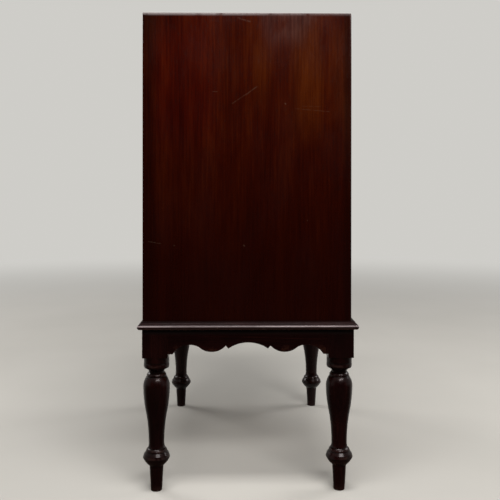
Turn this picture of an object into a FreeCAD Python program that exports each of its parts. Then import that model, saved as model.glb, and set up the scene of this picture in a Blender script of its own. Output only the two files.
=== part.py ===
"""Collector's cabinet for birds' eggs: a mitred case of side-hung drawers on a stand with turned legs.

Millimetres. +Z is up, the drawers open towards -Y, and the origin is on the floor under the middle of
the cabinet. A left or right piece is named as seen from the front.
"""

import FreeCAD, Part
import math
import operator
import os
import Sketcher
from FreeCAD import Placement, Rotation, Vector

DRAWERS = 7
TAILS = 2
DIVIDERS_LONG = 3
DIVIDERS_CROSS = 2
BACK_BOARDS = 3

SIZES = {
    # stand
    "stand_width": 523,
    "stand_depth": 378,
    "block_size": 46,
    "block_height": 65.7,
    "rail_thickness": 22,
    "tenon_length": 20,
    "tenon_height": 26,
    "tenon_thickness": 8,
    "tenon_shoulder": 5,
    "mortise_slack": 1,
    # turned leg, from the floor up
    "toe_radius": 10.1,
    "ankle_radius": 12.6,
    "foot_height": 45.2,
    "disc_radius": 24.4,
    "disc_under_height": 14.8,
    "disc_under_swell": 1.2,
    "disc_rim_height": 6,
    "disc_rim_radius": 22.6,
    "disc_slope_height": 4.8,
    "torus_base_radius": 19.3,
    "torus_top_radius": 15.4,
    "torus_height": 6.2,
    "torus_swell": 0.8,
    "cove_height": 8.2,
    "cove_hollow": 0.4,
    "waist_radius": 13.9,
    "waist_height": 52.8,
    "waist_hollow": 1.15,
    "vase_middle_radius": 18.3,
    "vase_swell_height": 46,
    "vase_swell": 1.1,
    "vase_radius": 23.9,
    "shoulder_height": 23,
    "shoulder_swell": 2.3,
    "shoulder_radius": 17.6,
    "bead_base_radius": 17.9,
    "bead_top_radius": 14.4,
    "bead_height": 6.6,
    "bead_swell": 1,
    "throat_radius": 14.1,
    "throat_height": 3.2,
    "flare_height": 6,
    "flare_radius": 22.2,
    "flare_hollow": 0.5,
    "astragal_height": 9.2,
    "astragal_radius": 22.3,
    "astragal_swell": 0.8,
    "collar_height": 11.3,
    "collar_radius": 22.8,
    # shaped lower edge of the rails: drops below the stand's top, shares of half a rail
    "ear_drop": 58.4,
    "ear_share": 0.06,
    "haunch_drop": 44.1,
    "haunch_share": 0.169,
    "haunch_hollow": 1.5,
    "spring_drop": 45.9,
    "spring_share": 0.385,
    "arch_hollow": 3.3,
    "belly_end_drop": 43.4,
    "belly_end_share": 0.721,
    "belly_swell": 9.9,
    "cusp_drop": 48.6,
    "cusp_share": 0.753,
    "crown_rise": 10.9,
    # moulding round the stand's top
    "fillet_reach": 1.2,
    "hollow_reach": 4.2,
    "hollow_height": 4.6,
    "hollow_depth": 0.9,
    "nosing_height": 9.8,
    "nosing_swell": 3.6,
    # bearers under the case
    "bearer_width": 22,
    "bearer_height": 24,
    # case
    "case_height": 551.2,
    "case_setback_end": 3,
    "case_setback_front": 3.6,
    "case_setback_back": 0.2,
    "front_arris": 4,
    "back_arris": 1.6,
    "top_arris": 3,
    "side_board": 20,
    "top_board": 20,
    "floor_board": 18,
    "floor_lap": 8,
    "back_board": 8,
    "back_rebate": 10,
    # runners
    "runner_height": 9,
    "runner_reach": 7,
    "runner_housing": 3,
    "runner_rise": 24,
    "runner_slack": 0.5,
    # drawers
    "drawer_gap": 1.5,
    "drawer_step": 5,
    "drawer_recess": 1,
    "drawer_side_gap": 1,
    "drawer_rear_gap": 4,
    "drawer_front_board": 18,
    "drawer_side_board": 13,
    "drawer_side_drop": 3,
    "drawer_back_board": 10,
    "drawer_bottom_board": 6,
    "drawer_bottom_rise": 5,
    "drawer_bottom_groove": 4,
    "lap_depth": 12,
    "tail_share": 0.5,
    "tail_flare": 1.5,
    "divider_thickness": 3,
    "divider_drop": 10,
    # knobs
    "knob_projection": 12.1,
    "knob_radius": 9,
    "knob_rim_height": 5,
    "knob_rim_edge": 2.6,
    "knob_crown_radius": 8,
    "knob_crown_rise": 1.4,
    "knob_crown_swell": 0.2,
    "knob_nose_radius": 3,
    "knob_neck_radius": 5,
    "knob_neck_hollow": 0.7,
    "spigot_radius": 4,
    "spigot_length": 13,
}

doc = FreeCAD.newDocument("EggCabinet")
sheet = doc.addObject("Spreadsheet::Sheet", "Sizes")


class Size:
    """A measure that keeps its number together with the sheet expression that gives it."""

    def __init__(self, number, text):
        self.number = float(number)
        self.text = text

    def __add__(self, other):
        return combined(self, "+", other)

    def __radd__(self, other):
        return combined(other, "+", self)

    def __sub__(self, other):
        return combined(self, "-", other)

    def __rsub__(self, other):
        return combined(other, "-", self)

    def __mul__(self, other):
        return combined(self, "*", other)

    def __rmul__(self, other):
        return combined(other, "*", self)

    def __truediv__(self, other):
        return combined(self, "/", other)

    def __rtruediv__(self, other):
        return combined(other, "/", self)

    def __neg__(self):
        return combined(0, "-", self)


OPERATIONS = {"+": operator.add, "-": operator.sub, "*": operator.mul, "/": operator.truediv}


def size_of(thing):
    """A plain number as a Size; a Size stays as it is."""
    return thing if isinstance(thing, Size) else Size(thing, f"{float(thing):g}")


def combined(left, sign, right):
    """The Size that one arithmetic step makes of two others."""
    left, right = size_of(left), size_of(right)
    number = OPERATIONS[sign](left.number, right.number)
    return Size(number, f"({left.text} {sign} {right.text})")


def fill_sheet():
    """Writes every driving size into the sheet and hands the cells back as Sizes by name."""
    for row, (alias, number) in enumerate(SIZES.items(), start=1):
        sheet.set(f"A{row}", alias)
        sheet.set(f"B{row}", str(number))
        sheet.setAlias(f"B{row}", alias)
    doc.recompute()
    return {alias: Size(getattr(sheet, alias), f"Sizes.{alias}") for alias in SIZES}


class Named:
    """Gives each cell of the sheet as an attribute."""

    def __init__(self, cells):
        self.__dict__.update(cells)


s = Named(fill_sheet())


def bind(thing, path, size):
    """Ties one property of an object to the sheet."""
    thing.setExpression(path, size_of(size).text)


# ---------------------------------------------------------------- sketches and features

NORMAL_SIGN = {"XY_Plane": 1, "XZ_Plane": -1, "YZ_Plane": 1}
START, END, CENTRE = range(1, 4)


def new_body(label):
    return doc.addObject("PartDesign::Body", label)


def new_sketch(body, name, role, level=0):
    """An empty sketch on one of the body's origin planes, moved along that plane's axis to level."""
    sketch = body.newObject("Sketcher::SketchObject", f"{body.Name}_{name}")
    plane = next(f for f in body.Origin.OriginFeatures if f.Role == role)
    sketch.AttachmentSupport = [(plane, "")]
    sketch.MapMode = "FlatFace"
    bind(sketch, "AttachmentOffset.Base.z", NORMAL_SIGN[role] * size_of(level))
    return sketch


def at(kind, reference, place):
    """The constraint that holds one coordinate of a point, with the measure that it is bound to."""
    return Sketcher.Constraint(kind, -1, 1, *reference, place.number), place


def hold(sketch, held):
    """Adds constraints to a sketch and binds those that come with a measure to the sheet."""
    numbers = sketch.addConstraint([constraint for constraint, measure in held])
    for number, (constraint, measure) in zip(numbers, held):
        if measure is not None:
            bind(sketch, f"Constraints[{number}]", measure)


def arc_radius(start, end, rise):
    """The radius of an arc between two corners that stands out from its chord by rise."""
    run, lift = end[0] - start[0], end[1] - start[1]
    return (run * run + lift * lift) / (8 * rise) + rise / 2


def arc_between(start, end, swell):
    """The arc from one corner to the next, drawn anticlockwise as a sketch needs it."""
    first = Vector(start[0].number, start[1].number, 0)
    last = Vector(end[0].number, end[1].number, 0)
    chord = last - first
    rise = abs(swell.number)
    radius = chord.Length**2 / (8 * rise) + rise / 2
    outwards = Vector(chord.y, -chord.x, 0).normalize() * math.copysign(1, swell.number)
    centre = (first + last) / 2 + outwards * (rise - radius)
    ends = (first, last) if swell.number > 0 else (last, first)
    angles = [math.atan2(end.y - centre.y, end.x - centre.x) for end in ends]
    return Part.ArcOfCircle(Part.Circle(centre, Vector(0, 0, 1), radius), *angles)


def add_outline(sketch, corners):
    """Adds a closed outline. A corner is (x, y), or (x, y, swell) where an arc leads to the next one.

    On an outline that runs anticlockwise a positive swell bulges outwards and a negative one is hollow.
    """
    places = [(size_of(corner[0]), size_of(corner[1])) for corner in corners]
    segments = []
    held = []
    for start, end, corner in zip(places, places[1:] + places[:1], corners):
        if len(corner) == 2:
            line = Part.LineSegment(Vector(start[0].number, start[1].number, 0),
                                    Vector(end[0].number, end[1].number, 0))
            segments.append((sketch.addGeometry(line, False), START, END))
            continue
        swell = size_of(corner[2])
        index = sketch.addGeometry(arc_between(start, end, swell), False)
        bulges = swell.number > 0
        segments.append((index, START, END) if bulges else (index, END, START))
        radius = arc_radius(start, end, swell if bulges else -swell)
        held.append((Sketcher.Constraint("Radius", index, radius.number), radius))
    for place, segment, following in zip(places, segments, segments[1:] + segments[:1]):
        joined = Sketcher.Constraint("Coincident", segment[0], segment[2], following[0], following[1])
        held.append((joined, None))
        held.append(at("DistanceX", segment[:2], place[0]))
        held.append(at("DistanceY", segment[:2], place[1]))
    hold(sketch, held)


def add_circle(sketch, x, y, radius):
    x, y, radius = size_of(x), size_of(y), size_of(radius)
    circle = Part.Circle(Vector(x.number, y.number, 0), Vector(0, 0, 1), radius.number)
    index = sketch.addGeometry(circle, False)
    hold(sketch, [
        at("DistanceX", (index, CENTRE), x),
        at("DistanceY", (index, CENTRE), y),
        (Sketcher.Constraint("Radius", index, radius.number), radius),
    ])


def rectangle(x_low, y_low, x_high, y_high):
    return [(x_low, y_low), (x_high, y_low), (x_high, y_high), (x_low, y_high)]


def outline(body, name, role, corners, level=0):
    sketch = new_sketch(body, name, role, level)
    add_outline(sketch, corners)
    return sketch


def pad(body, name, role, corners, level, length, towards=1):
    """Pads an outline from level, up or down the axis that its plane faces."""
    sketch = outline(body, f"{name}_sketch", role, corners, level)
    feature = body.newObject("PartDesign::Pad", f"{body.Name}_{name}")
    feature.Profile = sketch
    bind(feature, "Length", length)
    feature.Reversed = towards * NORMAL_SIGN[role] < 0
    return feature


def pocket(body, name, sketch, role, depth, towards):
    """Cuts a sketch into the solid, up or down the axis that its plane faces."""
    feature = body.newObject("PartDesign::Pocket", f"{body.Name}_{name}")
    feature.Profile = sketch
    bind(feature, "Length", depth)
    feature.Reversed = towards * NORMAL_SIGN[role] > 0
    return feature


def cut(body, name, role, corners, level, depth, towards):
    return pocket(body, name, outline(body, f"{name}_sketch", role, corners, level), role, depth, towards)


def repeat(body, name, feature, sketch, axis, reach, count):
    """Repeats a feature count times along an axis of its sketch, the last one at reach."""
    pattern = body.newObject("PartDesign::LinearPattern", f"{body.Name}_{name}")
    pattern.Originals = [feature]
    pattern.Direction = (sketch, [axis])
    bind(pattern, "Length", reach)
    pattern.Occurrences = count
    body.Tip = pattern
    return pattern


def revolve(body, name, corners):
    """Turns an outline in the body's XZ plane about the body's Z axis."""
    sketch = outline(body, f"{name}_sketch", "XZ_Plane", corners)
    feature = body.newObject("PartDesign::Revolution", f"{body.Name}_{name}")
    feature.Profile = sketch
    feature.ReferenceAxis = (sketch, ["V_Axis"])
    feature.Angle = 360
    return feature


def place(thing, x=0, y=0, z=0, axis=(0, 0, 1), angle=0):
    thing.Placement = Placement(Vector(0, 0, 0), Rotation(Vector(*axis), angle))
    for letter, measure in (("x", x), ("y", y), ("z", z)):
        bind(thing, f"Placement.Base.{letter}", measure)
    return thing


def board(label, x_low, x_high, y_low, y_high, z_low, z_high):
    """A plain rectangular piece."""
    box = doc.addObject("Part::Box", label)
    bind(box, "Length", x_high - x_low)
    bind(box, "Width", y_high - y_low)
    bind(box, "Height", z_high - z_low)
    return place(box, x_low, y_low, z_low)


def group(label, members):
    """Several like pieces, still separate solids, under one name."""
    compound = doc.addObject("Part::Compound", label)
    compound.Links = members
    return compound


def mirrored(label, source):
    """The opposite hand of a piece, across the cabinet's middle plane."""
    twin = doc.addObject("Part::Mirroring", label)
    twin.Source = source
    twin.Normal = Vector(1, 0, 0)
    return twin


nodes = []


def finished(thing, label):
    """Names a sub-part and puts it on the list of those written out."""
    thing.Label = label
    nodes.append(thing)
    return thing


# ---------------------------------------------------------------- stand: turned legs

LEG_MEMBERS = [
    # radius at the member's foot, its height, swell of its edge
    (s.toe_radius, s.foot_height, None),
    (s.ankle_radius, s.disc_under_height, s.disc_under_swell),
    (s.disc_radius, s.disc_rim_height, None),
    (s.disc_rim_radius, s.disc_slope_height, None),
    (s.torus_base_radius, s.torus_height, s.torus_swell),
    (s.torus_top_radius, s.cove_height, -s.cove_hollow),
    (s.waist_radius, s.waist_height, -s.waist_hollow),
    (s.vase_middle_radius, s.vase_swell_height, s.vase_swell),
    (s.vase_radius, s.shoulder_height, s.shoulder_swell),
]
NECK_MEMBERS = [
    (s.bead_base_radius, s.bead_height, s.bead_swell, s.bead_top_radius),
    (s.throat_radius, s.throat_height, None, s.throat_radius),
    (s.throat_radius, s.flare_height, -s.flare_hollow, s.flare_radius),
    (s.astragal_radius, s.astragal_height, s.astragal_swell, s.astragal_radius),
    (s.collar_radius, s.collar_height, None, s.collar_radius),
]


def leg_profile():
    """Half the turned outline of a leg, from the middle of its toe up to the square block."""
    corners = [(0, 0)]
    height = size_of(0)
    for radius, rise, swell in LEG_MEMBERS:
        corners.append((radius, height, swell) if swell else (radius, height))
        height = height + rise
    corners.append((s.shoulder_radius, height))
    for low_radius, rise, swell, high_radius in NECK_MEMBERS:
        if corners[-1][0] is not low_radius:
            corners.append((low_radius, height))
        if swell:
            corners[-1] = (low_radius, height, swell)
        height = height + rise
        corners.append((high_radius, height))
    corners.append((0, height))
    return corners, height


leg_corners, turned_height = leg_profile()
stand_height = turned_height + s.block_height
leg_x = (s.stand_width - s.block_size) / 2
leg_y = (s.stand_depth - s.block_size) / 2
half_block = s.block_size / 2
tenon_low = stand_height - s.tenon_shoulder - s.tenon_height
tenon_setback = (s.rail_thickness - s.tenon_thickness) / 2
mortise_depth = s.tenon_length + s.mortise_slack


def leg(label, x, y, angle):
    """A leg turned from one square, with a mortise in each of its two inner faces."""
    body = new_body(label)
    revolve(body, "turning", leg_corners)
    square = rectangle(-half_block, -half_block, half_block, half_block)
    pad(body, "block", "XY_Plane", square, turned_height, s.block_height)
    mortise_start = tenon_setback - half_block
    mortise_end = mortise_start + s.tenon_thickness
    mortise = rectangle(mortise_start, tenon_low, mortise_end, tenon_low + s.tenon_height)
    cut(body, "front_mortise", "YZ_Plane", mortise, half_block, mortise_depth, -1)
    cut(body, "side_mortise", "XZ_Plane", mortise, half_block, mortise_depth, -1)
    return finished(place(body, x, y, 0, angle=angle), label)


leg("leg_front_left", -leg_x, -leg_y, 0)
leg("leg_front_right", leg_x, -leg_y, 90)
leg("leg_back_right", leg_x, leg_y, 180)
leg("leg_back_left", -leg_x, leg_y, 270)


# ---------------------------------------------------------------- stand: shaped rails

def rail_edge(half):
    """The shaped lower edge from the left block to the right one, with ears, arches, bellies and cusps."""
    left = [
        (-half, -s.ear_drop),
        (-half * (1 - s.ear_share), -s.ear_drop, -s.haunch_hollow),
        (-half * (1 - s.haunch_share), -s.haunch_drop, -s.arch_hollow),
        (-half * (1 - s.spring_share), -s.spring_drop, s.belly_swell),
        (-half * (1 - s.belly_end_share), -s.belly_end_drop),
        (-half * (1 - s.cusp_share), -s.cusp_drop, -s.crown_rise),
    ]
    right = []
    for index in range(len(left) - 1, -1, -1):
        x, z = -left[index][0], left[index][1]
        swell = left[index - 1][2:] if index else ()
        right.append((x, z, *swell))
    return left + right


def rail(label, length, x, y, angle):
    """A rail of the stand with its shaped lower edge, tenoned into the legs at both ends."""
    body = new_body(label)
    half = length / 2
    edge = rail_edge(half) + [(half, 0), (-half, 0)]
    pad(body, "shaped_board", "XZ_Plane", edge, 0, s.rail_thickness)
    high = -s.tenon_shoulder
    low = high - s.tenon_height
    for name, start in (("left", -half - s.tenon_length), ("right", half)):
        tenon = rectangle(start, low, start + s.tenon_length, high)
        pad(body, f"{name}_tenon", "XZ_Plane", tenon, tenon_setback, s.tenon_thickness)
    return finished(place(body, x, y, stand_height, angle=angle), label)


front_length = s.stand_width - 2 * s.block_size
end_length = s.stand_depth - 2 * s.block_size
rail("apron_front", front_length, 0, -s.stand_depth / 2, 0)
rail("apron_right", end_length, s.stand_width / 2, 0, 90)
rail("apron_back", front_length, 0, s.stand_depth / 2, 180)
rail("apron_left", end_length, -s.stand_width / 2, 0, 270)


# ---------------------------------------------------------------- stand: mitred moulding

moulding_reach = s.hollow_reach + s.nosing_swell
moulding_height = s.hollow_height + s.nosing_height


def moulding(label, length, x, y, angle):
    """A length of hollow-and-bead moulding, planted on the stand's face and mitred at both ends."""
    body = new_body(label)
    half = length / 2 + moulding_reach
    section = [
        (0, 0),
        (-s.fillet_reach, 0, -s.hollow_depth),
        (-s.hollow_reach, -s.hollow_height, s.nosing_swell),
        (-s.hollow_reach, -moulding_height),
        (0, -moulding_height),
    ]
    pad(body, "strip", "YZ_Plane", section, -half, 2 * half)
    for name, side in (("left", -1), ("right", 1)):
        inner = side * (half - moulding_reach)
        corner = [(inner, 0), (side * half, 0), (side * half, -moulding_reach)]
        cut(body, f"{name}_mitre", "XY_Plane", corner, 0, moulding_height, -1)
    return finished(place(body, x, y, stand_height, angle=angle), label)


moulding("moulding_front", s.stand_width, 0, -s.stand_depth / 2, 0)
moulding("moulding_right", s.stand_depth, s.stand_width / 2, 0, 90)
moulding("moulding_back", s.stand_width, 0, s.stand_depth / 2, 180)
moulding("moulding_left", s.stand_depth, -s.stand_width / 2, 0, 270)


# ---------------------------------------------------------------- case: boards

out_x = s.stand_width / 2 - s.case_setback_end
in_x = out_x - s.side_board
front_y = s.case_setback_front - s.stand_depth / 2
rear_y = s.stand_depth / 2 - s.case_setback_back
case_depth = rear_y - front_y
back_face = rear_y - s.back_board
case_top = stand_height + s.case_height
ceiling = case_top - s.top_board
case_floor = stand_height + s.floor_board
rebate_x = in_x + s.back_rebate
drawer_face = front_y + s.drawer_recess
front_inner = drawer_face + s.drawer_front_board
mean_front = (ceiling - case_floor - (DRAWERS + 1) * s.drawer_gap) / DRAWERS
middle_drawer = (DRAWERS - 1) / 2


def front_height(index):
    """Height of a drawer front; the drawers are numbered from the top and grow downwards."""
    return mean_front + (index - middle_drawer) * s.drawer_step


def drawer_bottom(index):
    """Height above the floor of a drawer's lower edge."""
    above = (index + 1) * (mean_front + s.drawer_gap)
    extra = ((index + 1) * index / 2 - (index + 1) * middle_drawer) * s.drawer_step
    return ceiling - above - extra


case_upright = (stand_height, s.case_height)
case_deep = (front_y, case_depth)
case_wide = (-out_x, 2 * out_x)
QUARTER_RISE = 1 - math.sqrt(0.5)


def round_arris(body, name, role, corner, inwards, radius, span):
    """Rounds a long arris: cuts away what lies between a board's corner and a quarter circle in it."""
    x, y = corner
    along, across = inwards
    ends = [(x + along * radius, y), (x, y + across * radius)]
    if along * across < 0:
        ends.reverse()
    hollow = (*ends[0], -QUARTER_RISE * radius)
    cut(body, f"{name}_arris", role, [(x, y), hollow, ends[1]], *span, 1)


def case_side():
    """The right side of the case: mitred at the top, lapped over the floor, housed for the runners."""
    body = new_body("case_side_right")
    profile = [(in_x, stand_height), (out_x, stand_height), (out_x, case_top), (in_x, ceiling)]
    pad(body, "side_board", "XZ_Plane", profile, front_y, case_depth)
    lap = rectangle(in_x, stand_height, in_x + s.floor_lap, case_floor)
    cut(body, "floor_lap", "XZ_Plane", lap, front_y, case_depth, 1)
    rebate = rectangle(in_x, stand_height, rebate_x, ceiling + s.back_rebate)
    cut(body, "back_rebate", "XZ_Plane", rebate, back_face, s.back_board, 1)
    round_arris(body, "front", "XY_Plane", (out_x, front_y), (-1, 1), s.front_arris, case_upright)
    round_arris(body, "back", "XY_Plane", (out_x, rear_y), (-1, -1), s.back_arris, case_upright)
    round_arris(body, "top", "XZ_Plane", (out_x, case_top), (-1, -1), s.top_arris, case_deep)
    sketch = new_sketch(body, "runner_housings_sketch", "YZ_Plane", in_x)
    for index in range(DRAWERS):
        low = drawer_bottom(index) + s.runner_rise
        add_outline(sketch, rectangle(front_inner, low, back_face, low + s.runner_height))
    pocket(body, "runner_housings", sketch, "YZ_Plane", s.runner_housing, 1)
    return body


side = finished(case_side(), "case_side_right")
finished(mirrored("case_side_left", side), "case_side_left")


def case_top_board():
    """The top of the case, mitred to both sides and rebated for the back."""
    body = new_body("case_top")
    profile = [(-in_x, ceiling), (in_x, ceiling), (out_x, case_top), (-out_x, case_top)]
    pad(body, "top_board", "XZ_Plane", profile, front_y, case_depth)
    rebate = rectangle(-rebate_x, ceiling, rebate_x, ceiling + s.back_rebate)
    cut(body, "back_rebate", "XZ_Plane", rebate, back_face, s.back_board, 1)
    round_arris(body, "front", "YZ_Plane", (front_y, case_top), (1, -1), s.front_arris, case_wide)
    round_arris(body, "back", "YZ_Plane", (rear_y, case_top), (-1, -1), s.back_arris, case_wide)
    round_arris(body, "right", "XZ_Plane", (out_x, case_top), (-1, -1), s.top_arris, case_deep)
    round_arris(body, "left", "XZ_Plane", (-out_x, case_top), (1, -1), s.top_arris, case_deep)
    return body


finished(case_top_board(), "case_top")

lapped_x = in_x + s.floor_lap
finished(
    board("case_floor", -lapped_x, lapped_x, front_y, back_face, stand_height, case_floor), "case_floor"
)

back_pieces = []
back_board_width = 2 * rebate_x / BACK_BOARDS
for number in range(BACK_BOARDS):
    start = number * back_board_width - rebate_x
    back_pieces.append(
        board(f"back_board_{number + 1}", start, start + back_board_width, back_face, rear_y,
              stand_height, ceiling + s.back_rebate)
    )
finished(group("case_back", back_pieces), "case_back")

runners = []
for number in range(DRAWERS):
    low = drawer_bottom(number) + s.runner_rise
    runners.append(
        board(f"runner_{number + 1}", in_x - s.runner_reach, in_x + s.runner_housing, front_inner,
              back_face, low, low + s.runner_height)
    )
runners_right = finished(group("drawer_runners_right", runners), "drawer_runners_right")
finished(mirrored("drawer_runners_left", runners_right), "drawer_runners_left")


# ---------------------------------------------------------------- bearers

rail_inner = s.stand_width / 2 - s.rail_thickness
bearer_right = finished(
    board("bearer_right", rail_inner - s.bearer_width, rail_inner, -end_length / 2, end_length / 2,
          stand_height - s.bearer_height, stand_height),
    "bearer_right",
)
finished(mirrored("bearer_left", bearer_right), "bearer_left")


# ---------------------------------------------------------------- drawers

half_drawer = in_x - s.drawer_side_gap
inner_half = half_drawer - s.drawer_side_board
drawer_rear = back_face - s.drawer_rear_gap
back_inner = drawer_rear - s.drawer_back_board
groove_top = s.drawer_bottom_rise + s.drawer_bottom_board
panel_half = inner_half + s.drawer_bottom_groove
panel_front = front_inner - s.drawer_bottom_groove
groove_reach = s.runner_reach - s.drawer_side_gap + s.runner_slack


def tails(z_low, z_high, root, end):
    """Dovetails between two heights: each is the four corners from its root out to its wide end."""
    pitch = (z_high - z_low) / TAILS
    half_root = pitch * s.tail_share / 2
    half_end = half_root + s.tail_flare
    corners = []
    for index in range(TAILS):
        middle = z_low + (index + 0.5) * pitch
        corners.append([
            (root, middle - half_root), (end, middle - half_end),
            (end, middle + half_end), (root, middle + half_root),
        ])
    return corners


def cut_sockets(body, name, dovetails):
    """Cuts the sockets for the dovetails of both sides into the two ends of a board."""
    for hand, level, towards in (("left", -half_drawer, 1), ("right", half_drawer, -1)):
        sketch = new_sketch(body, f"{name}_{hand}_sketch", "YZ_Plane", level)
        for dovetail in dovetails:
            add_outline(sketch, dovetail)
        pocket(body, f"{name}_{hand}", sketch, "YZ_Plane", s.drawer_side_board, towards)


def drawer_front(name, height, dovetails):
    """A drawer front: lapped sockets for the sides, a groove for the bottom, a hole for the knob."""
    body = new_body(f"{name}_front")
    face = rectangle(-half_drawer, 0, half_drawer, height)
    pad(body, "front_board", "XZ_Plane", face, drawer_face, s.drawer_front_board)
    cut_sockets(body, "sockets", dovetails)
    groove = rectangle(-panel_half, s.drawer_bottom_rise, panel_half, groove_top)
    cut(body, "bottom_groove", "XZ_Plane", groove, front_inner, s.drawer_bottom_groove, -1)
    sketch = new_sketch(body, "knob_hole_sketch", "XZ_Plane", drawer_face)
    add_circle(sketch, 0, height / 2, s.spigot_radius)
    pocket(body, "knob_hole", sketch, "XZ_Plane", s.spigot_length, 1)
    return body


def drawer_side(name, side_height, front_tails, back_tails):
    """The right side of a drawer: tails at both ends, a groove to run in and one for the bottom."""
    body = new_body(f"{name}_side_right")
    profile = [(front_inner, 0), (drawer_rear, 0), (drawer_rear, groove_top), (back_inner, groove_top)]
    for dovetail in back_tails:
        profile += dovetail
    profile += [(back_inner, side_height), (front_inner, side_height)]
    for dovetail in reversed(front_tails):
        profile += reversed(dovetail)
    pad(body, "side_board", "YZ_Plane", profile, inner_half, s.drawer_side_board)
    low = s.runner_rise - s.runner_slack
    runner_groove = rectangle(front_inner, low, drawer_rear, s.runner_rise + s.runner_height)
    cut(body, "runner_groove", "YZ_Plane", runner_groove, half_drawer, groove_reach, -1)
    bottom_groove = rectangle(panel_front, s.drawer_bottom_rise, drawer_rear, groove_top)
    cut(body, "bottom_groove", "YZ_Plane", bottom_groove, inner_half, s.drawer_bottom_groove, 1)
    return body


def drawer_back(name, side_height, dovetails):
    """The back of a drawer, set on the bottom and dovetailed between the sides."""
    body = new_body(f"{name}_back")
    face = rectangle(-half_drawer, groove_top, half_drawer, side_height)
    pad(body, "back_board", "XZ_Plane", face, back_inner, s.drawer_back_board)
    cut_sockets(body, "sockets", dovetails)
    groove_low = s.runner_rise - s.runner_slack
    groove = rectangle(back_inner, groove_low, drawer_rear, s.runner_rise + s.runner_height)
    for hand, level, towards in (("left", -half_drawer, 1), ("right", half_drawer, -1)):
        cut(body, f"runner_groove_{hand}", "YZ_Plane", groove, level, groove_reach, towards)
    return body


def notched_strip(low, high, start, end, notches, notch_end):
    """A divider's outline, with notches half its depth from its upper or its lower edge."""
    middle = (low + high) / 2
    half = s.divider_thickness / 2
    edge = []
    for notch in notches:
        edge += [
            (notch - half, notch_end), (notch - half, middle),
            (notch + half, middle), (notch + half, notch_end),
        ]
    if notch_end is high:
        return [(start, low), (end, low), (end, high)] + edge[::-1] + [(start, high)]
    return [(start, low)] + edge + [(end, low), (end, high), (start, high)]


def drawer_dividers(name, side_height):
    """Thin strips, halved over each other, that part the drawer into compartments for the eggs."""
    high = side_height - s.divider_drop
    column = 2 * inner_half / (DIVIDERS_LONG + 1)
    row = (back_inner - front_inner) / (DIVIDERS_CROSS + 1)
    rows = [front_inner + (n + 1) * row for n in range(DIVIDERS_CROSS)]
    columns = [(n + 1) * column - inner_half for n in range(DIVIDERS_LONG)]
    half = s.divider_thickness / 2
    strips = []
    for kind, role, profile, level, towards, reach, count in (
        ("long", "YZ_Plane", notched_strip(groove_top, high, front_inner, back_inner, rows, high),
         columns[0] - half, 1, (DIVIDERS_LONG - 1) * column, DIVIDERS_LONG),
        ("cross", "XZ_Plane", notched_strip(groove_top, high, -inner_half, inner_half, columns, groove_top),
         rows[-1] + half, -1, (DIVIDERS_CROSS - 1) * row, DIVIDERS_CROSS),
    ):
        body = new_body(f"{name}_{kind}_dividers")
        strip = pad(body, "strip", role, profile, level, s.divider_thickness, towards)
        repeat(body, "strips", strip, strip.Profile[0], "N_Axis", reach, count)
        strips.append(body)
    return strips


def drawer_knob(name):
    """A small turned knob with a spigot that is glued into the middle of the front."""
    body = new_body(f"{name}_knob")
    rim_low = s.knob_projection - s.knob_rim_height
    profile = [
        (0, -s.spigot_length), (s.spigot_radius, -s.spigot_length), (s.spigot_radius, 0),
        (s.knob_neck_radius, 0, -s.knob_neck_hollow),
        (s.knob_radius, rim_low), (s.knob_radius, s.knob_projection - s.knob_rim_edge),
        (s.knob_crown_radius, s.knob_projection - s.knob_crown_rise, s.knob_crown_swell),
        (s.knob_nose_radius, s.knob_projection), (0, s.knob_projection),
    ]
    revolve(body, "turning", profile)
    return body


def drawer(index):
    """One drawer: front, box of two sides and a back, bottom, dividers and knob."""
    name = f"drawer_{index + 1}"
    height = front_height(index)
    lift = drawer_bottom(index)
    side_height = height - s.drawer_side_drop
    front_tails = tails(size_of(0), side_height, front_inner, front_inner - s.lap_depth)
    back_tails = tails(groove_top, side_height, back_inner, drawer_rear)
    finished(place(drawer_front(name, height, front_tails), z=lift), f"{name}_front")
    right = place(drawer_side(name, side_height, front_tails, back_tails), z=lift)
    left = mirrored(f"{name}_side_left", right)
    back = place(drawer_back(name, side_height, back_tails), z=lift)
    finished(group(f"{name}_box", [left, right, back]), f"{name}_box")
    bottom = board(f"{name}_bottom", -panel_half, panel_half, panel_front, drawer_rear,
                   lift + s.drawer_bottom_rise, lift + groove_top)
    finished(bottom, f"{name}_bottom")
    strips = [place(strip, z=lift) for strip in drawer_dividers(name, side_height)]
    finished(group(f"{name}_dividers", strips), f"{name}_dividers")
    knob = place(drawer_knob(name), 0, drawer_face, lift + height / 2, (1, 0, 0), 90)
    finished(knob, f"{name}_knob")


for drawer_index in range(DRAWERS):
    drawer(drawer_index)


# ---------------------------------------------------------------- check and write out

def check_document():
    """Stops if any object failed, or if a sub-part is empty or not a sound solid."""
    doc.recompute()
    for thing in doc.Objects:
        if {"Invalid", "Error"} & set(thing.State):
            raise RuntimeError(f"{thing.Name} failed: {thing.State}")
    for node in nodes:
        if node.Shape.isNull() or not node.Shape.isValid() or not node.Shape.Solids:
            raise RuntimeError(f"{node.Label} has no sound solid")


def write_nodes():
    os.makedirs("parts", exist_ok=True)
    for node in nodes:
        node.Shape.exportStep(os.path.join("parts", f"{node.Label}.step"))
    print(f"{len(nodes)} sub-parts, {sum(len(node.Shape.Solids) for node in nodes)} solids")


check_document()
write_nodes()
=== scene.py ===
"""Finishes the egg collector's cabinet: French-polished mahogany case, dark turned stand, cedar drawers."""

import math

import bpy
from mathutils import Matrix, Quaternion, Vector


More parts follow.
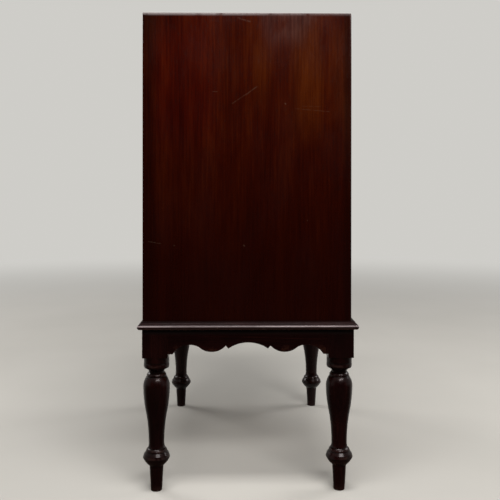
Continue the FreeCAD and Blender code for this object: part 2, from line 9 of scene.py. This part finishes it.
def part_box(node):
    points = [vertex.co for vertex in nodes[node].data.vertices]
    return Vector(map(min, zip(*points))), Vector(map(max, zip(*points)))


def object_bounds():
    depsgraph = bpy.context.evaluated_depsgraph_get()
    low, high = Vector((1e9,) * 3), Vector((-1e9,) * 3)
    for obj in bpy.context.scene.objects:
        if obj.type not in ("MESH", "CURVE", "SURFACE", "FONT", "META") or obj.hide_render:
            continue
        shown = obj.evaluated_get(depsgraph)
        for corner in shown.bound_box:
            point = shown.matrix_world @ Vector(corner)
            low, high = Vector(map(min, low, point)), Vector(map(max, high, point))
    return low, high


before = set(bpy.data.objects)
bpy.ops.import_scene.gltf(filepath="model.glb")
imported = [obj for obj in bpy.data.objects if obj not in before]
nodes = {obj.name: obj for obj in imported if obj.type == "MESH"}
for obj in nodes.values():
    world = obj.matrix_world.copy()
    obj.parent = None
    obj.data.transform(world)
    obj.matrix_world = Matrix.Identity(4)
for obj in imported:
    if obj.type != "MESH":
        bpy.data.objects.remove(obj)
cad_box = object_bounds()
MM = 0.001


# ---------------------------------------------------------------- shader maths

class Socket:
    """An output of a shader node. Sums with it add Math nodes and give the socket of the result."""

    def __init__(self, tree, socket):
        self.tree = tree
        self.socket = socket

    def beside(self, output):
        """Another output of the same node."""
        return Socket(self.tree, self.socket.node.outputs[output])

    def math(self, operation, *values):
        return self.tree.node("ShaderNodeMath", {"operation": operation}, values)

    def __add__(self, other):
        return self.math("ADD", self, other)

    __radd__ = __add__

    def __sub__(self, other):
        return self.math("SUBTRACT", self, other)

    def __rsub__(self, other):
        return self.math("SUBTRACT", other, self)

    def __mul__(self, other):
        return self.math("MULTIPLY", self, other)

    __rmul__ = __mul__

    def __truediv__(self, other):
        return self.math("DIVIDE", self, other)

    def __pow__(self, other):
        return self.math("POWER", self, other)

    def __abs__(self):
        return self.math("ABSOLUTE", self)

    def fract(self):
        return self.math("FRACT", self)

    def larger(self, other):
        return self.math("MAXIMUM", self, other)

    def smaller(self, other):
        return self.math("MINIMUM", self, other)

    def rise(self, low, high):
        """0 below low and 1 above high, with a smooth step between; falls instead where low is above high."""
        if low > high:
            return 1 - self.rise(high, low)
        settings = {"interpolation_type": "SMOOTHSTEP"}
        return self.tree.node("ShaderNodeMapRange", settings, (self, low, high, 0.0, 1.0))

    def band(self, middle, half, soft):
        """1 within half a width of the middle, fading to 0 over soft."""
        return abs(self - middle).rise(half + soft, half)


class ShaderTree:
    """A tree of shader nodes that is being built."""

    def __init__(self, node_tree):
        self.node_tree = node_tree
        node_tree.nodes.clear()

    def node(self, kind, settings=None, values=(), output=0):
        """Adds a node, then its settings, then the values or links of its sockets, by order or by name."""
        node = self.node_tree.nodes.new(kind)
        for name, value in (settings or {}).items():
            if name == "stops":
                self.fill_ramp(node.color_ramp, value)
            else:
                setattr(node, name, value)
        pairs = values.items() if isinstance(values, dict) else enumerate(values)
        for name, value in pairs:
            if isinstance(value, Socket):
                self.node_tree.links.new(value.socket, node.inputs[name])
            elif value is not None:
                node.inputs[name].default_value = value
        return Socket(self, node.outputs[output]) if len(node.outputs) else None

    @staticmethod
    def fill_ramp(ramp, stops):
        while len(ramp.elements) > 1:
            ramp.elements.remove(ramp.elements[-1])
        for index, (position, color) in enumerate(stops):
            element = ramp.elements[0] if index == 0 else ramp.elements.new(position)
            element.position = position
            element.color = (*color, 1)

    @staticmethod
    def tone(color):
        return color if isinstance(color, Socket) else (*color, 1)

    def mix(self, mask, first, second, blend="MIX"):
        """First colour where the mask is 0, second where it is 1."""
        values = {0: mask, 6: self.tone(first), 7: self.tone(second)}
        settings = {"data_type": "RGBA", "blend_type": blend, "clamp_factor": True}
        return self.node("ShaderNodeMix", settings, values, output=2)


class Finish(ShaderTree):
    """A material, laid out in the object's own metres: x along the fronts, y towards the back, z up."""

    def __init__(self, name):
        self.material = bpy.data.materials.new(name)
        self.material.use_nodes = True
        super().__init__(self.material.node_tree)
        self.place = self.node("ShaderNodeTexCoord", output="Object")
        self.x = self.node("ShaderNodeSeparateXYZ", values=(self.place,))
        self.y = self.x.beside("Y")
        self.z = self.x.beside("Z")

    def noise(self, scale, stretch=1, along="z", detail=2.0, roughness=0.5, distortion=0.0, shift=0.0):
        """Noise of scale features per metre, drawn out along one axis; shift tells it from the others."""
        draw = [1 / stretch if axis == along else 1.0 for axis in "xyz"]
        away = [shift * share for share in (1.0, 0.7, 1.3)]
        values = {"Vector": self.place, "Location": away, "Scale": draw}
        mapped = self.node("ShaderNodeMapping", {}, values)
        values = {"Vector": mapped, "Scale": scale, "Detail": detail, "Roughness": roughness,
                  "Distortion": distortion}
        return self.node("ShaderNodeTexNoise", {}, values)

    def bump(self, height, distance, strength=1.0, under=None):
        values = {"Height": height, "Distance": distance, "Strength": strength, "Normal": under}
        return self.node("ShaderNodeBump", {}, values)

    def surface(self, **sockets):
        """Ends the material in one shader; a word such as base_color sets or feeds Base Color."""
        values = {name.replace("_", " ").title().replace("Ior", "IOR"): value
                  for name, value in sockets.items()}
        shader = self.node("ShaderNodeBsdfPrincipled", {}, values)
        self.node("ShaderNodeOutputMaterial", {}, (shader,))
        return self.material


# ---------------------------------------------------------------- colours

def palette(dark, middle, light):
    return {"dark": dark, "middle": middle, "light": light}


CASE = palette((0.0130, 0.0008, 0.0001), (0.0255, 0.0022, 0.0002), (0.0420, 0.0056, 0.0006))
GOLD = palette((0.0250, 0.0034, 0.0003), (0.0420, 0.0066, 0.0006), (0.0620, 0.0120, 0.0014))
STAND = palette((0.0020, 0.0003, 0.0003), (0.0046, 0.0006, 0.0006), (0.0100, 0.0016, 0.0012))
FRONT = palette((0.0160, 0.0026, 0.0008), (0.0400, 0.0078, 0.0020), (0.0780, 0.0190, 0.0050))
BACK = palette((0.0110, 0.0036, 0.0016), (0.0270, 0.0096, 0.0042), (0.0500, 0.0200, 0.0090))
CEDAR = palette((0.170, 0.075, 0.034), (0.300, 0.145, 0.070), (0.400, 0.215, 0.115))
PINE = palette((0.220, 0.115, 0.050), (0.360, 0.210, 0.100), (0.460, 0.300, 0.160))

SCUFF = (0.135, 0.085, 0.060)
RUBBED = (0.045, 0.016, 0.009)
# Rubbed brown wear on the stand; on the nosing's underside the same colour is painted light.
HANDLED_AND_LIT = (0.030, 0.016, 0.013)
# Pale rubbed polish, used also as a painted highlight along arrises.
WORN_AND_HIGHLIGHT = (0.170, 0.142, 0.138)
# Painted highlight along the crest of the nosing.
NOSE_HIGHLIGHT = (0.235, 0.190, 0.190)
# Black, for dark joints and nail heads, for the quirks of the turnings, and for painted shadow.
SOOT_AND_SHADOW = (0.0015, 0.0008, 0.0006)
# Dust; on the ends of the case this is also the colour of a painted sheen.
DUST_AND_SHEEN = (0.066, 0.031, 0.025)
BACK_DUST = (0.045, 0.032, 0.024)
LOW_BROWN = (0.0235, 0.0019, 0.0002)

# These multiply the colour under them.
REDDER = (1.10, 0.70, 1.20)
# Darker towards the foot: partly painted shade, partly darker old polish.
DARK_POLISH_AND_SHADE_TO_FOOT = (0.33, 0.26, 0.30)
CORNER_SHADE = (0.72, 0.80, 0.95)
MARGIN_SHADE = (0.50, 0.58, 0.80)


# ---------------------------------------------------------------- wood

class Wood(Finish):
    """Sawn wood: broad stripes, fine lines and open pores, all drawn out along the grain."""

    def __init__(self, name, grain, colors, shift, stripe=48, stripe_length=18):
        super().__init__(name)
        self.shift = shift
        stripes = self.noise(stripe, stripe_length, grain, detail=3, distortion=0.4, shift=shift)
        self.lines = self.noise(340, 30, grain, detail=3, roughness=0.6, shift=shift + 3)
        patches = self.noise(20, 3, grain, detail=4, roughness=0.6, distortion=0.6, shift=shift + 7)
        self.tint = stripes * 0.25 + self.lines * 0.4 + patches * 0.35
        self.color = self.grained(colors)
        self.pores = self.noise(1500, 18, grain, detail=1, shift=shift + 11).rise(0.58, 0.70)
        self.paint(self.pores * 0.55, [part * 0.4 for part in colors["dark"]])

    def grained(self, colors):
        """A palette laid out by the grain."""
        stops = ((0.36, colors["dark"]), (0.50, colors["middle"]), (0.64, colors["light"]))
        return self.node("ShaderNodeValToRGB", {"stops": stops}, (self.tint,))

    def paint(self, mask, color):
        self.color = self.mix(mask, self.color, color)

    def shade(self, mask, color):
        self.color = self.mix(mask, self.color, color, "MULTIPLY")


class Bare(Wood):
    """Wood left from the plane."""

    def __init__(self, name, grain, colors, shift):
        super().__init__(name, grain, colors, shift, stripe=90, stripe_length=14)

    def finished(self):
        relief = self.bump(self.lines - self.pores, 0.08 * MM, 0.6)
        return self.surface(base_color=self.color, roughness=self.lines * 0.15 + 0.62, normal=relief,
                            specular_ior_level=0.3)


class Polish(Wood):
    """Mahogany under an old French polish: gloss, film and relief are kept as sums, to be added to."""

    def __init__(self, name, grain, colors, shift, gloss=0.20):
        super().__init__(name, grain, colors, shift)
        self.cloud = self.noise(16, 2, grain, detail=3, shift=shift + 17)
        self.rough = gloss + self.cloud.rise(0.35, 0.7) * 0.10 + self.pores * 0.12
        self.height = self.lines * 0.35 - self.pores
        self.film = self.cloud.rise(0.85, 0.25) * 0.6 + 0.2

    def dust_and_sheen(self, mask, color=DUST_AND_SHEEN):
        """A thin veil of dust and waxy haze that also dulls the polish; on the ends of the case it is a
        painted sheen, standing for light reflected in the polish.
        """
        self.paint(mask, color)
        self.rough = self.rough + mask * 0.15

    def bruise(self, mask, color):
        """A scratch or chip that shows the bare wood and stands a little below the polish."""
        self.paint(mask, color)
        self.rough = self.rough + mask * 0.3
        self.height = self.height - mask

    def rub_and_highlight_arris(self, mask):
        """An arris that handling has dulled to a pinkish grey, most of all towards the back; the pale line
        also stands as a painted highlight along the rounded arris.
        """
        towards_back = self.y.rise(-0.14, 0.08) * 0.7 + 0.3
        broken = self.noise(60, 1, detail=3, shift=self.shift + 33).rise(0.25, 0.50)
        self.paint(mask * towards_back * broken, WORN_AND_HIGHLIGHT)

    def dull(self, mask):
        self.rough = self.rough + mask * 0.4
        self.film = self.film * (1 - mask)

    def soot_and_shadow(self, mask, strength=0.8):
        """Black and dull: old polish and dirt left in a joint, and painted shadow under the moulding."""
        self.paint(mask * strength, SOOT_AND_SHADOW)
        self.dull(mask)

    def specks(self, mask, scale, size, share):
        """Stray knocks: small round spots in all but a share of cells, where the mask is 1."""
        values = {"Vector": self.place, "Scale": scale}
        near = self.node("ShaderNodeTexVoronoi", {}, values)
        chance = self.node("ShaderNodeSeparateColor", {}, (near.beside("Color"),))
        spot = near.rise(size, size * 0.5) * chance.rise(share, share + 0.02)
        self.bruise(spot * mask, SCUFF)

    def scratch(self, start, end, width, color, strength):
        """A straight, broken scratch on an end of the case, between two places given as (y, z)."""
        across, up = (b - a for a, b in zip(start, end))
        length = math.hypot(across, up)
        y = self.y - start[0]
        z = self.z - start[1]
        share = ((y * across + z * up) / length ** 2).larger(0.0).smaller(1.0)
        miss = ((y - share * across) ** 2.0 + (z - share * up) ** 2.0) ** 0.5
        broken = self.noise(260, detail=2, shift=self.shift + start[0] * 90).rise(0.34, 0.52)
        self.bruise(miss.rise(width, width * 0.3) * broken * strength, color)

    def finished(self, coat=0.25):
        relief = self.bump(self.height, 0.05 * MM, 0.5)
        ripple = self.bump(self.cloud, 0.5 * MM, 0.12, under=relief)
        return self.surface(base_color=self.color, roughness=self.rough, normal=ripple,
                            specular_ior_level=0.09, specular_tint=(1, 0.74, 0.72, 1),
                            coat_weight=self.film * coat, coat_roughness=0.12, coat_ior=1.3)


# ---------------------------------------------------------------- case and drawers

END_REACH = -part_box("case_side_left")[0].x
CASE_HEAD = cad_box[1].z

# Where a tone of the case's ends starts to change, and where the change is complete.
LOWER_HALF = (0.70, 0.35)
WHOLE_HEIGHT = (0.84, 0.32)
BACK_MARGIN = (0.152, 0.180)
FRONT_MARGIN = (-0.166, -0.176)
MARGIN_HEIGHT = (0.30, 0.75)
BACK_CORNER_ACROSS = (0.080, 0.170)
BACK_CORNER_UP = (0.79, 0.86)
HEAD_ARRIS = (CASE_HEAD - 6.7 * MM, CASE_HEAD - 1.7 * MM)

# Middle, half a width and softness of a tone's patch.
RED_ACROSS = (0.115, 0.030, 0.050)
RED_UP = (0.750, 0.060, 0.120)
# Where the painted sheen lies: light reflected in the polish near the head of an end.
SHEEN_ACROSS = (-0.072, 0.020, 0.045)
SHEEN_UP = (0.785, 0.850)

GOLDEN_STREAKS = (
    # y of the middle, half a width, z of the foot, z of the head, strength
    (-0.104, 0.015, 0.60, 0.85, 0.70),
    (-0.030, 0.004, 0.66, 0.81, 0.50),
    (-0.164, 0.004, 0.62, 0.84, 0.45),
)

LEFT_END_MARKS = (
    # from (y, z) to (y, z), width, colour, strength
    ((0.0180, 0.8505), (-0.0035, 0.8440), 2.0 * MM, RUBBED, 0.50),
    ((0.0287, 0.6977), (-0.0156, 0.7278), 0.8 * MM, SCUFF, 0.15),
    ((0.0040, 0.7125), (-0.0145, 0.7285), 0.6 * MM, SCUFF, 0.14),
    ((-0.0849, 0.6888), (-0.1452, 0.6835), 0.7 * MM, SCUFF, 0.12),
    ((-0.0960, 0.6935), (-0.1290, 0.6925), 0.6 * MM, SCUFF, 0.10),
    ((0.0642, 0.7189), (0.0554, 0.7189), 0.8 * MM, SCUFF, 0.14),
    ((0.1780, 0.4512), (0.1567, 0.4477), 0.9 * MM, SCUFF, 0.14),
    ((-0.0658, 0.6984), (-0.0668, 0.6970), 1.5 * MM, SCUFF, 0.25),
    ((0.0080, 0.4449), (0.0068, 0.4433), 1.6 * MM, SCUFF, 0.16),
)


def golden(wood, y):
    """How far each place lies in a golden streak, which fades out at its head and foot."""
    streaks = 0.0
    for middle, half, foot, head, strength in GOLDEN_STREAKS:
        up = wood.z.rise(foot, foot + 0.10) * wood.z.rise(head + 0.02, head - 0.03)
        streaks = y.band(middle, half, 0.020) * up * strength + streaks
    return streaks.smaller(1.0)


def case_end(name, shift, marks=()):
    """An end of the case: redder to one side, golden streaks, darker towards its edges and towards its foot,
    where the darkening is partly painted shade; a painted sheen near its head and a rubbed arris that also
    carries a painted highlight.
    """
    wood = Polish(name, "z", CASE, shift)
    wander = wood.noise(9, 3, shift=shift + 21) * 0.05 - 0.025
    y = wood.y + wander
    wood.paint(golden(wood, y), wood.grained(GOLD))
    wood.shade(y.band(*RED_ACROSS) * wood.z.band(*RED_UP) * 0.8, REDDER)
    wood.paint(wood.z.rise(*LOWER_HALF) * 0.5, LOW_BROWN)
    # Darker towards the foot: partly painted shade, for the fall of light from above that the lamps don't
    # give, and partly darker old polish.
    wood.shade(wood.z.rise(*WHOLE_HEIGHT), DARK_POLISH_AND_SHADE_TO_FOOT)
    wood.shade(wood.y.rise(*BACK_CORNER_ACROSS) * wood.z.rise(*BACK_CORNER_UP), CORNER_SHADE)
    margins = wood.y.rise(*BACK_MARGIN).larger(wood.y.rise(*FRONT_MARGIN))
    wood.shade(margins * (wood.z.rise(*MARGIN_HEIGHT) * 0.5 + 0.5), MARGIN_SHADE)
    # Painted sheen: a streaky pinkish-grey veil near the head, standing for light reflected in the polish.
    streaky = wood.lines.rise(0.25, 0.75) * 0.6 + 0.4
    sheen_streaks = streaky * wood.noise(30, 1.5, shift=shift + 25).rise(0.25, 0.65)
    wood.dust_and_sheen(wood.y.band(*SHEEN_ACROSS) * wood.z.rise(*SHEEN_UP) * sheen_streaks * 0.55)
    # Painted highlight along the rounded head arris, laid on as rubbed polish.
    wood.rub_and_highlight_arris(wood.z.rise(*HEAD_ARRIS))
    for mark in marks:
        wood.scratch(*mark)
    wood.specks(0.18, scale=16, size=0.02, share=0.72)
    return wood.finished()


def knocked(wood):
    """Ends a polished piece with the few small knocks that they all have."""
    wood.specks(0.6, scale=20, size=0.03, share=0.7)
    return wood.finished()


def case_top():
    """The top, which shows at its ends as the upper half of the mitred arris."""
    wood = Polish("case_top_polish", "x", CASE, 2.0)
    # Painted highlight along the rounded arris at the ends, laid on as rubbed polish.
    wood.rub_and_highlight_arris(abs(wood.x).rise(END_REACH - 2.5 * MM, END_REACH + 1.5 * MM))
    return knocked(wood)


def middle_of(board, upper):
    """Height halfway between a board's lower face and an upper edge."""
    return (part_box(board)[0].z + upper) / 2


def back_boards():
    """Three stained boards side by side, each a little different, nailed to the floor and the top."""
    wood = Polish("back_board_stain", "z", BACK, 4.0, gloss=0.45)
    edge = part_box("case_back")[1]
    joint = edge.x / 3
    sharp = 0.1 * MM
    wood.paint(abs(wood.x).rise(joint + sharp, joint - sharp) * 0.35, BACK["dark"])
    wood.paint(wood.x.rise(joint - sharp, joint + sharp) * 0.3, BACK["light"])
    wood.soot_and_shadow(abs(wood.x).band(joint, 0.4 * MM, 0.5 * MM), 0.9)
    apart = joint
    across = ((wood.x * (1 / apart) + 50.0).fract() - 0.5) * apart
    foot = middle_of("case_floor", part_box("case_floor")[1].z)
    head = middle_of("case_top", edge.z)
    up = abs(wood.z - (foot + head) / 2) - (head - foot) / 2
    nail = (across ** 2.0 + up ** 2.0) ** 0.5
    wood.bruise(nail.rise(2.2 * MM, 1.8 * MM), SOOT_AND_SHADOW)
    wood.dust_and_sheen(wood.noise(9, 1, detail=4, shift=3).rise(0.5, 0.7) * 0.4, BACK_DUST)
    return wood.finished(coat=0.05)


def case_floor():
    """Pine, lipped with mahogany along the front."""
    wood = Bare("floor_pine", "x", PINE, 5.0)
    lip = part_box("case_floor")[0].y + 8.4 * MM
    wood.paint(wood.y.rise(lip, lip - 0.2 * MM), wood.grained(FRONT))
    return wood.finished()


# ---------------------------------------------------------------- stand

NOSE_X, NOSE_Y, _ = cad_box[1]
RAIL_X = -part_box("apron_left")[0].x
RAIL_Y = -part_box("apron_front")[0].y
MOULDING_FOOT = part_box("moulding_left")[0].z
# Painted shadow that the moulding casts on the rails and leg blocks below it.
SHADOW_UNDER_MOULDING = (MOULDING_FOOT - 11.6 * MM, MOULDING_FOOT - 4.6 * MM)
BLOCK_FOOT = 0.243
LEG_QUIRKS = (0.0600, 0.0708, 0.0770, 0.2070, 0.2136, 0.2168, 0.2228, 0.2320)
LEG_ROUNDS = (0.0630, 0.0739, 0.2103, 0.2274)


def rings(wood, heights, half, soft):
    """1 in level bands round a turning, at these heights."""
    bands = 0.0
    for height in heights:
        bands = wood.z.band(height, half, soft) + bands
    return bands


def turned_leg():
    """Dark polish, black in the quirks of the turning and with painted shadow under the moulding, rubbed
    browner on its rounds and arrises.
    """
    wood = Polish("leg_polish", "z", STAND, 6.0, gloss=0.24)
    # Black bands in the quirks of the turning.
    wood.paint(rings(wood, LEG_QUIRKS, 0.4 * MM, 1.6 * MM) * 0.8, SOOT_AND_SHADOW)
    rounds = rings(wood, LEG_ROUNDS, 0.8 * MM, 2.2 * MM)
    worn = wood.noise(120, detail=3, shift=5).rise(0.42, 0.62)
    arris_x = abs(wood.x).rise(RAIL_X - 2.0 * MM, RAIL_X - 0.3 * MM)
    arris_y = abs(wood.y).rise(RAIL_Y - 2.0 * MM, RAIL_Y - 0.3 * MM)
    arris = arris_x * arris_y * wood.z.rise(BLOCK_FOOT, BLOCK_FOOT + 1.0 * MM)
    wood.paint((rounds * 0.5 + arris) * worn * 0.7, HANDLED_AND_LIT)
    wood.specks(0.5, scale=48, size=0.04, share=0.86)
    # Painted shadow under the moulding.
    wood.soot_and_shadow(wood.z.rise(*SHADOW_UNDER_MOULDING))
    wood.dust_and_sheen(wood.z.rise(14 * MM, 0.0) * 0.12)
    return wood.finished(coat=0.4)


def rail(name, grain, shift):
    """A shaped rail, rubbed here and there along its lower edge, with painted shadow under the moulding."""
    wood = Polish(name, grain, STAND, shift)
    lower_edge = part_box("apron_left")[0].z
    edge = wood.z.rise(lower_edge + 19.4 * MM, lower_edge + 9.4 * MM)
    patchy = wood.noise(90, detail=3, shift=shift).rise(0.45, 0.6)
    wood.paint(patchy * edge * 0.2, RUBBED)
    # Painted shadow under the moulding.
    wood.soot_and_shadow(wood.z.rise(*SHADOW_UNDER_MOULDING))
    wood.specks(0.8, scale=40, size=0.05, share=0.86)
    return wood.finished()


def moulding(name, grain, shift, nose_highlight):
    """A painted highlight runs along the nosing's crest, with a dull ledge above it and painted light on the
    nosing's underside.
    """
    wood = Polish(name, grain, STAND, shift, gloss=0.22)
    out, nose = (wood.x, NOSE_X) if grain == "y" else (wood.y, NOSE_Y)
    z = wood.z - MOULDING_FOOT
    uneven = wood.noise(14, 1, detail=3, shift=shift + 2).rise(0.30, 0.60) * 0.5 + 0.5
    wood.dull(z.rise(7.6 * MM, 9.4 * MM) * 0.9)
    # Painted highlight: a pale line along the crest of the nosing, where light from above is reflected.
    wood.paint(z.band(6.6 * MM, 0.4 * MM, 1.2 * MM) * uneven * nose_highlight, NOSE_HIGHLIGHT)
    # Painted light: the nosing's underside, which faces down into shade, painted lighter as if lit.
    wood.paint(z.rise(5.4 * MM, 1.4 * MM) * 0.6, HANDLED_AND_LIT)
    chips = wood.noise(190, 1.6, grain, detail=2, shift=shift + 5).rise(0.70, 0.74)
    crest = abs(out).rise(nose - 2.2 * MM, nose)
    wood.bruise(crest * chips * 0.5, SCUFF)
    return wood.finished(coat=0.4)


# ---------------------------------------------------------------- which piece takes which finish

finishes = {
    "case_side_left": case_end("left_end_polish", 0.0, LEFT_END_MARKS),
    "case_side_right": case_end("right_end_polish", 31.0),
    "case_top": case_top(),
    "case_back": back_boards(),
    "case_floor": case_floor(),
    "leg": turned_leg(),
    "long_apron": rail("long_rail_polish", "x", 8.0),
    "end_apron": rail("end_rail_polish", "y", 9.0),
    "long_moulding": moulding("long_moulding_polish", "x", 18.0, nose_highlight=0.4),
    "end_moulding": moulding("end_moulding_polish", "y", 19.0, nose_highlight=1.0),
    "bearer": Bare("bearer_pine", "y", PINE, 10.0).finished(),
    "runners": Bare("runner_cedar", "y", CEDAR, 11.0).finished(),
    "front": knocked(Polish("drawer_front_polish", "x", FRONT, 12.0)),
    "knob": knocked(Polish("knob_polish", "y", STAND, 13.0)),
    "box": Bare("drawer_side_cedar", "y", CEDAR, 14.0).finished(),
    "bottom": Bare("drawer_bottom_cedar", "x", CEDAR, 15.0).finished(),
    "dividers": Bare("divider_cedar", "y", CEDAR, 16.0).finished(),
}


def finish_of(name):
    """A drawer's pieces go by their last word, rails and mouldings by their side, the rest by their first."""
    words = name.split("_")
    if name.startswith("drawer_runners"):
        return finishes["runners"]
    if words[0] == "drawer":
        return finishes[words[-1]]
    if words[0] in ("apron", "moulding"):
        length = "long" if words[1] in ("front", "back") else "end"
        return finishes[f"{length}_{words[0]}"]
    return finishes.get(name) or finishes[words[0]]


for name, node in nodes.items():
    for slot in node.material_slots:
        slot.material = finish_of(name)


# ---------------------------------------------------------------- eased arrises

EASED = {"case_side": 0.3 * MM, "case_top": 0.3 * MM, "case_floor": 0.5 * MM, "case_back": 0.5 * MM,
         "apron": 0.9 * MM, "bearer": 0.8 * MM, "drawer": 0.5 * MM}


def ease(node, width):
    """Rounds the arrises of a board a little, as a scraper and polish leave them."""
    weld = node.modifiers.new("weld", "WELD")
    weld.merge_threshold = 0.01 * MM
    bevel = node.modifiers.new("arrises", "BEVEL")
    bevel.width = width
    bevel.segments = 2
    bevel.limit_method = "ANGLE"
    bevel.angle_limit = math.radians(40)
    bevel.use_clamp_overlap = True
    node.modifiers.new("normals", "WEIGHTED_NORMAL")


for name, node in nodes.items():
    kind = next((kind for kind in EASED if name.startswith(kind)), None)
    if kind and not name.endswith("_knob"):
        ease(node, EASED[kind])


# ---------------------------------------------------------------- studio

BACKDROP = (0.62, 0.61, 0.58)
FLOOR_TONES = ((0.35, 0.335, 0.305), (0.39, 0.372, 0.342))
FLOOR_REACH = 14.0
FLOOR_FADE = (1.0, 4.5)
DIM = (0.052, 0.030, 0.020)
WORLD_LIGHT = (0.35, 0.35, 0.35)
MIDDLE = (0, 0, 0.5)
LAMPS = (
    # name, place, aim, size, watts
    ("key", (-2.3, -0.75, 2.35), MIDDLE, (1.9, 0.35), 66),
    ("overhead", (-0.8, 0, 2.4), (-0.8, 0, 0), (0.45, 1.3), 48),
    ("fill_front", (0.9, -2.5, 1.9), MIDDLE, (1.2, 1.0), 40),
    ("fill_back", (1.5, 2.2, 1.9), MIDDLE, (1.2, 1.0), 40),
)
CAMERA_PLACE = (-1.4200, 0.0107, 0.5302)
YAW, TILT, ROLL = (math.radians(angle) for angle in (-0.78, -0.12, 0.03))


def add_object(name, data):
    thing = bpy.data.objects.new(name, data)
    bpy.context.scene.collection.objects.link(thing)
    return thing


def lamp(name, place, aim, size, watts):
    light = bpy.data.lights.new(name, "AREA")
    light.shape = "RECTANGLE"
    light.size, light.size_y = size
    light.energy = watts
    lamp_object = add_object(name, light)
    lamp_object.location = place
    lamp_object.rotation_euler = (Vector(aim) - Vector(place)).to_track_quat("-Z", "Y").to_euler()


def seen(tree):
    """1 for the rays that look at the backdrop, straight, in a polish or through glass."""
    path = tree.node("ShaderNodeLightPath", output="Is Camera Ray")
    return path.larger(path.beside("Is Glossy Ray")).larger(path.beside("Is Transmission Ray"))


def floor():
    """A plain floor that fades into the backdrop far off; in a polish its left half looks dim."""
    mesh = bpy.data.meshes.new("studio_floor")
    corners = [(x * FLOOR_REACH, y * FLOOR_REACH, 0) for x, y in ((-1, -1), (1, -1), (1, 1), (-1, 1))]
    mesh.from_pydata(corners, [], [(0, 1, 2, 3)])
    plane = add_object("studio_floor", mesh)
    finish = Finish("studio_floor")
    plain = finish.mix(finish.noise(3, detail=4), *FLOOR_TONES)
    dim_end = finish.x.rise(0.1, -0.25) * finish.node("ShaderNodeLightPath", output="Is Glossy Ray")
    values = {"Base Color": finish.mix(dim_end, plain, DIM), "Roughness": 0.7, "Specular IOR Level": 0.2}
    near = finish.node("ShaderNodeBsdfPrincipled", {}, values)
    far = finish.node("ShaderNodeEmission", {}, {"Color": finish.mix(dim_end, BACKDROP, DIM)})
    away = (finish.x ** 2.0 + finish.y ** 2.0) ** 0.5
    fade = away.rise(*FLOOR_FADE) * seen(finish)
    both = finish.node("ShaderNodeMixShader", {}, (fade, near, far))
    finish.node("ShaderNodeOutputMaterial", {}, (both,))
    mesh.materials.append(finish.material)


def backdrop():
    """A pale room for whatever looks at it; a polish sees its left end dim."""
    world = bpy.data.worlds.new("studio")
    bpy.context.scene.world = world
    world.use_nodes = True
    tree = ShaderTree(world.node_tree)
    glossy = tree.node("ShaderNodeLightPath", output="Is Glossy Ray")
    way = tree.node("ShaderNodeTexCoord", output="Generated")
    x = tree.node("ShaderNodeSeparateXYZ", {}, (way,))
    dim_end = x.rise(-0.35, -0.80) * x.beside("Z").rise(0.75, 0.35)
    lights = []
    for color in (tree.mix(dim_end, WORLD_LIGHT, DIM), tree.mix(dim_end * glossy, BACKDROP, DIM)):
        lights.append(tree.node("ShaderNodeBackground", {}, {"Color": color, "Strength": 1.0}))
    tree.node("ShaderNodeOutputWorld", {}, (tree.node("ShaderNodeMixShader", {}, (seen(tree), *lights)),))


def camera():
    """Stands at the left end and looks level at it."""
    data = bpy.data.cameras.new("camera")
    data.sensor_width = 36
    data.lens = 46.8
    data.shift_x = -0.0022
    data.shift_y = -0.1026
    camera_object = add_object("camera", data)
    camera_object.location = CAMERA_PLACE
    look = Vector((math.cos(YAW), math.sin(YAW), math.sin(TILT)))
    turn = look.to_track_quat("-Z", "Y") @ Quaternion((0, 0, 1), ROLL)
    camera_object.rotation_euler = turn.to_euler()
    bpy.context.scene.camera = camera_object


floor()
backdrop()
for settings in LAMPS:
    lamp(*settings)
camera()
bpy.context.scene.view_settings.view_transform = "Standard"
